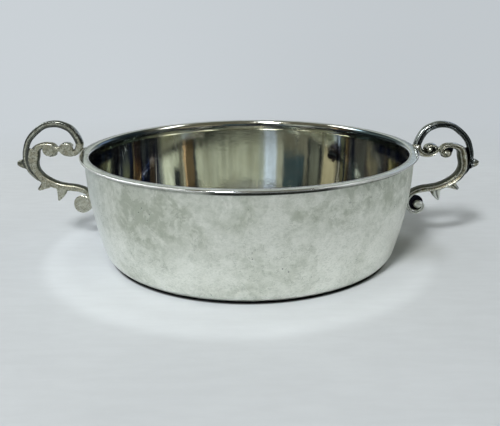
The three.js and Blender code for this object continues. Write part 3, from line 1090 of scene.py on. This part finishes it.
# The casting's finish: stains and pores, bright ridges, the arch, the rubbed parts, the back,
# then the shade and the black of the hollows over them all
cast_finish, tree, shader = metal("cast_silver")
where = place_in(tree)
depth, shade, back = [stored(tree, name) for name in ("hollow", "shaded", "behind")]
arch, bare = [stored(tree, name) for name in ("cool", "rubbed")]
stains = noise(tree, where, cast_stain_scale, detail=5, roughness=0.65, twist=0.4)
tone = mixed(tree, span(tree, stains, *cast_stain_range), light_stain_tone, brown_stain_tone)
pores = noise(tree, where, pore_scale, roughness=0.7)
tone = mixed(tree, span(tree, pores, *pore_range, end=pore_strength), tone, pore_tone)
ridges = span(tree, depth, *ridge_range, end=ridge_strength)
ridges = times(tree, ridges, span(tree, back, *ridge_back_range, *ridge_back_gains))
tone = mixed(tree, ridges, tone, ridge_tone)
cooled = times(tree, arch, span(tree, back, *behind_range, *cool_gains))
tone = mixed(tree, cooled, tone, cool_tone)
rubbing = times(tree, bare, span(tree, back, *behind_range, *rubbed_gains))
tone = mixed(tree, rubbing, tone, rubbed_tone)
tone = mixed(tree, span(tree, back, *back_range, end=back_strength), tone, back_tone)
specks = noise(tree, where, back_speck_scale, detail=2, roughness=0.5)
specks = span(tree, specks, *back_speck_range, end=back_speck_strength)
specks = times(tree, specks, span(tree, back, *back_range))
tone = mixed(tree, specks, tone, back_speck_tone)
# Painted shade over all, warm on the bands and cooler on the arch
tone = mixed(tree, shade, tone, mixed(tree, arch, warm_shade_tone, cool_shade_tone))
tone = mixed(tree, span(tree, depth, *hollow_range), tone, hollow_tone)
tree.links.new(tone, shader.inputs["Base Color"])
smooth = times(
    tree,
    span(tree, stains, *cast_smooth_range, *cast_roughness),
    span(tree, depth, *ridge_range, *ridge_smooth_gains),
    span(tree, arch, 0.0, 1.0, *cool_smooth_gains),
)
tree.links.new(smooth, shader.inputs["Roughness"])
sandy = bumped(tree, pores, *pore_bump)
tree.links.new(bumped(tree, stains, *cast_stain_bump, sandy), shader.inputs["Normal"])

half_turn = Matrix.Rotation(math.pi, 4, "Z")
lowered = Matrix.Translation((0, 0, -handle_offset))
raised = Matrix.Translation((0, 0, handle_offset))
for side, place in (("right", lowered), ("left", raised @ half_turn)):
    copy = casting.copy()
    bmesh.ops.transform(copy, matrix=place, verts=copy.verts[:])
    handle = piece(side + "_scroll", copy)
    handle.data.materials.append(cast_finish)
    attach(handle, "root")
    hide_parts(side + "_handle")
casting.free()

# The solder. A fillet of bright silver solder holds each handle to the rim and another holds
# its foot to the wall. Each was run in molten, so it spreads and thins at both ends.
solder_steps = 8
solder_sides = 40
solder_radius = 0.5
solder_waist = 0.72
solder_roughness = 0.3
solder_tone = (0.60, 0.59, 0.53)
solder_crust_tone = (0.20, 0.185, 0.14)
crust_scale = 700
crust_range = (0.4, 0.65)
crust_bump = (0.4, 0.0002)
rim_fillet = {"inward": 0.0006, "outward": 0.0018, "wide": 0.0042, "tall": 0.0024}
foot_fillet = {"inward": 0.0022, "outward": 0.0006, "wide": 0.0046, "tall": 0.0062}


def waist_share(step):
    """A bead's width at a step from end to end, as a share of its width at the ends."""
    return 1 - (1 - solder_waist) * math.sin(math.pi * step / solder_steps)


solder, tree, shader = metal("solder")
shader.inputs["Roughness"].default_value = solder_roughness
where = place_in(tree)
crust = noise(tree, where, crust_scale)
tone = mixed(tree, span(tree, crust, *crust_range), solder_tone, solder_crust_tone)
tree.links.new(tone, shader.inputs["Base Color"])
tree.links.new(bumped(tree, crust, *crust_bump), shader.inputs["Normal"])

for side, offset in (("right", -handle_offset), ("left", handle_offset)):
    places = (
        ("rim", rim_fillet, rim_outer, rim_middle),
        ("foot", foot_fillet, foot_land, foot_height + offset),
    )
    for end, size, surface, height in places:
        bead = bmesh.new()
        bmesh.ops.create_circle(bead, cap_ends=True, segments=solder_sides, radius=solder_radius)
        face = bead.faces[:][0]
        inner = surface - size["inward"]
        reach = surface + size["outward"] - inner
        for i in range(1, solder_steps + 1):
            pushed = bmesh.ops.extrude_face_region(bead, geom=[face])["geom"]
            face = next(part for part in pushed if isinstance(part, bmesh.types.BMFace))
            growth = waist_share(i) / waist_share(i - 1)
            bmesh.ops.scale(bead, vec=(growth, growth, 1), verts=face.verts[:])
            bmesh.ops.translate(bead, vec=(0, 0, reach / solder_steps), verts=face.verts[:])
        bmesh.ops.recalc_face_normals(bead, faces=bead.faces[:])
        place = Matrix.Translation((inner, 0, height))
        lie = Matrix.Rotation(math.pi / 2, 4, "Y")
        stretch = Matrix.Diagonal((size["tall"], size["wide"], 1, 1))
        turn = half_turn if side == "left" else Matrix.Identity(4)
        bmesh.ops.transform(bead, matrix=turn @ place @ lie @ stretch, verts=bead.verts[:])
        fillet = piece(f"{side}_{end}_fillet", bead)
        fillet.data.materials.append(solder)
        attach(fillet, "root")
        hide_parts(f"{side}_{end}_solder")
